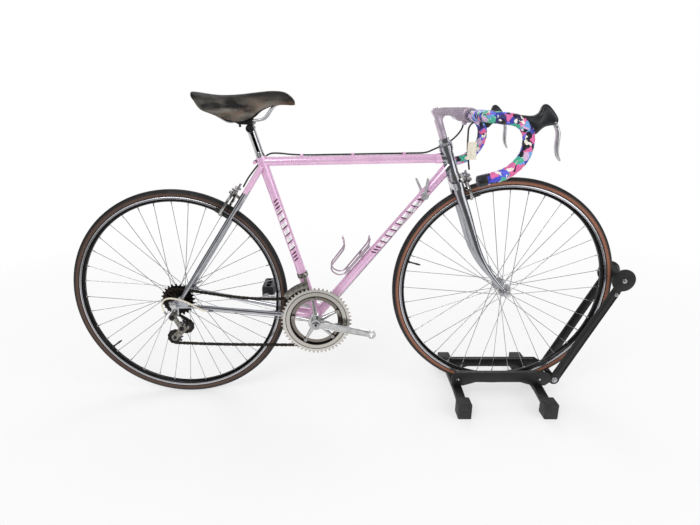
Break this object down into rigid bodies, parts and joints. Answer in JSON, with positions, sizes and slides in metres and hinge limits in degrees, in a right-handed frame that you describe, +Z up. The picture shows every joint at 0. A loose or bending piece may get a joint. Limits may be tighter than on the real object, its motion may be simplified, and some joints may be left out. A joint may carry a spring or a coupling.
{
  "type": "road racing bicycle on a floor stand",
  "caption": "Drop-bar road bicycle with lugged steel frame, derailleur gears and side-pull brakes, parked with its front wheel in a black floor stand.",
  "frame": {"origin": "centre of the bounding box at floor level", "axes": "+X towards the front of the bicycle, +Y to its left, +Z up; the chain is on the -Y side"},
  "size_m": [1.7036, 0.4296, 0.935],
  "materials": {
    "frame_paint": "metallic pink lilac",
    "chrome": "polished",
    "stem_satin": "satin",
    "alloy": "polished",
    "steel": "bright",
    "sprocket_steel": "dark",
    "rim_alloy": "anodised",
    "tyre_rubber": "matte",
    "bar_tape": "printed tape",
    "hood_rubber": "matte",
    "cable_housing": "sleeve",
    "saddle_leather": "worn",
    "pedal_plastic": "moulded",
    "stand_paint": "satin black",
    "foot_rubber": "matte",
    "tag_paper": "plain"
  },
  "bodies": {
    "front_assembly": {"stand_rails": "stand_paint", "stand_legs": "stand_paint", "stand_feet": "foot_rubber", "stand_arm_right": "stand_paint", "stand_arm_left": "stand_paint", "stand_holder": "stand_paint", "fork_crown": "chrome", "fork_blade_right": "chrome", "fork_blade_left": "chrome", "headset_top": "chrome", "stem": "stem_satin", "handlebar": "alloy", "bar_tape_right": "bar_tape", "bar_tape_left": "bar_tape", "brake_hood_right": "hood_rubber", "brake_hood_left": "hood_rubber", "brake_lever_right": "alloy", "brake_lever_left": "alloy", "front_brake": "alloy", "front_brake_cable": "cable_housing", "paper_tag": "tag_paper", "front_axle": "steel", "rear_brake_loop": "cable_housing"},
    "frame": {"head_tube": "frame_paint", "headset_cups": "chrome", "top_tube": "frame_paint", "down_tube": "frame_paint", "seat_tube": "frame_paint", "bottom_bracket": "frame_paint", "seat_stays": "chrome", "chainstays": "chrome", "dropouts": "chrome", "seatpost": "alloy", "saddle_rails": "steel", "saddle": "saddle_leather", "freewheel": "sprocket_steel", "chain": "sprocket_steel", "rear_axle": "steel", "rear_derailleur": "alloy", "front_derailleur": "alloy", "shifters": "alloy", "rear_brake": "alloy", "rear_brake_cable": "cable_housing", "gear_cables": "cable_housing", "bottle_cage": "alloy"},
    "front_wheel": {"front_tyre": "tyre_rubber", "front_rim": "rim_alloy", "front_hub": "steel"},
    "rear_wheel": {"rear_tyre": "tyre_rubber", "rear_rim": "rim_alloy", "rear_hub": "steel"},
    "crank": {"crankset": "alloy", "crank_spindle": "steel", "crank_left": "alloy"},
    "pedal": {"pedal_left": "pedal_plastic"}
  },
  "joints": [
    {"name": "steering", "type": "hinge", "parent": "front_assembly", "child": "frame", "pos_m": [0.31031, 0, 0.6862], "axis": [-0.3249, 0, 0.9457], "range_deg": [-60, 60], "deforming": ["rear_brake_loop"]},
    {"name": "front_wheel_spin", "type": "hinge", "parent": "front_assembly", "child": "front_wheel", "pos_m": [0.47281, 0, 0.3614], "axis": [0, 1, 0], "continuous": true},
    {"name": "rear_wheel_spin", "type": "hinge", "parent": "frame", "child": "rear_wheel", "pos_m": [-0.51781, 0, 0.334], "axis": [0, 1, 0], "continuous": true},
    {"name": "crank_spin", "type": "hinge", "parent": "frame", "child": "crank", "pos_m": [-0.09475, 0, 0.26917], "axis": [0, 1, 0], "continuous": true},
    {"name": "pedal_spin", "type": "hinge", "parent": "crank", "child": "pedal", "pos_m": [-0.26211, 0.09, 0.29903], "axis": [0, 1, 0], "continuous": true}
  ]
}
